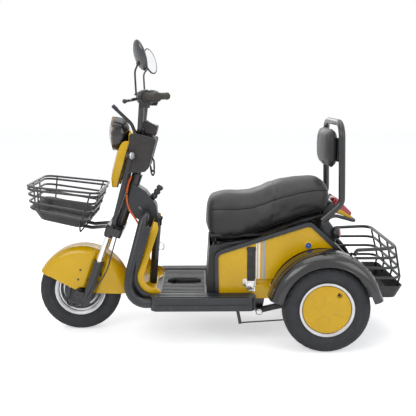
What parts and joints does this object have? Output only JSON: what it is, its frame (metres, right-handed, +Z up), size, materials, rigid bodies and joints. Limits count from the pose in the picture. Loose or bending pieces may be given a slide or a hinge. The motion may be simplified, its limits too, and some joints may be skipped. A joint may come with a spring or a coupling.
{
  "type": "electric tricycle",
  "caption": "Three-wheeled electric scooter with a steered front wheel, driven rear wheels, long seat over the battery, sprung backrest hoop and wire baskets ahead and behind.",
  "frame": {"origin": "on the ground, in the middle of the length and the width", "axes": "+Z up, the front towards -Y, the vehicle's left side towards +X"},
  "size_m": [0.6878, 1.598, 1.2732],
  "materials": {
    "tyre_rubber": "matte",
    "rim_silver": "satin",
    "black_metal": "gloss",
    "chrome": "polished",
    "yellow_plastic": "gloss",
    "black_plastic": "matte",
    "black_gloss": "gloss",
    "dark_cast": "satin",
    "lamp_glass": "clear",
    "indicator_lens": "gloss",
    "grip_rubber": "matte",
    "mirror_glass": "polished",
    "battery_case": "matte",
    "lock_blue": "gloss",
    "red_lens": "gloss",
    "seat_vinyl": "satin",
    "loom_orange": "satin"
  },
  "bodies": {
    "chassis": {"side_steps": "black_plastic", "shield_bumper": "black_plastic", "neck_cover": "black_plastic", "leg_shield": "yellow_plastic", "floorboard": "black_plastic", "bag_hook": "chrome", "main_frame": "black_metal", "seat_frame": "black_metal", "rear_carrier": "black_metal", "neck_knob": "black_plastic", "seat_box": "black_plastic", "side_edges": "black_plastic", "side_panels": "yellow_plastic", "battery": "battery_case", "latches": "black_plastic", "seat_lock": "lock_blue", "rear_guards": "black_gloss", "rear_axle": "dark_cast", "brake_linkage": "black_metal", "tail_loop": "black_plastic", "tail_fairing": "black_plastic", "tail_lamp": "red_lens", "rear_indicators": "indicator_lens", "backrest_frame": "black_metal", "backrest_pad": "seat_vinyl", "rear_basket": "black_metal", "rear_tray": "black_plastic", "loom": "loom_orange"},
    "steering": {"fork": "black_metal", "fork_tubes": "chrome", "front_guard": "yellow_plastic", "front_brake": "dark_cast", "basket_tray": "black_plastic", "basket_frame": "black_metal", "basket_bracket": "black_metal", "headlight": "black_gloss", "headlight_lens": "lamp_glass", "front_mask": "yellow_plastic", "lamp_stays": "black_metal", "dash_box": "black_plastic", "front_indicators": "indicator_lens", "grips": "grip_rubber", "controls": "black_plastic", "mirrors": "black_gloss", "mirror_glass": "mirror_glass", "handlebar": "black_metal", "brake_cable": "black_plastic"},
    "front_wheel": {"front_tyre": "tyre_rubber", "front_rim": "rim_silver"},
    "rear_wheel_left": {"rear_tyre_left": "tyre_rubber", "rear_rim_left": "rim_silver", "hub_cap_left": "yellow_plastic"},
    "rear_wheel_right": {"rear_tyre_right": "tyre_rubber", "rear_rim_right": "rim_silver", "hub_cap_right": "yellow_plastic"},
    "seat": {"seat_cushion": "seat_vinyl", "seat_base": "black_plastic"}
  },
  "joints": [
    {"name": "steer", "type": "hinge", "parent": "chassis", "child": "steering", "pos_m": [0, -0.38458, 0.59158], "axis": [0, 0.3338, 0.9426], "range_deg": [-40, 40]},
    {"name": "front_spin", "type": "hinge", "parent": "steering", "child": "front_wheel", "pos_m": [0, -0.606, 0.182], "axis": [1, 0, 0], "continuous": true},
    {"name": "rear_left_spin", "type": "hinge", "parent": "chassis", "child": "rear_wheel_left", "pos_m": [0.267, 0.452, 0.182], "axis": [1, 0, 0], "continuous": true},
    {"name": "rear_right_spin", "type": "hinge", "parent": "chassis", "child": "rear_wheel_right", "pos_m": [-0.267, 0.452, 0.182], "axis": [1, 0, 0], "continuous": true},
    {"name": "seat_lift", "type": "hinge", "parent": "chassis", "child": "seat", "pos_m": [0, -0.016, 0.444], "axis": [1, 0, 0], "range_deg": [0, 65]}
  ]
}
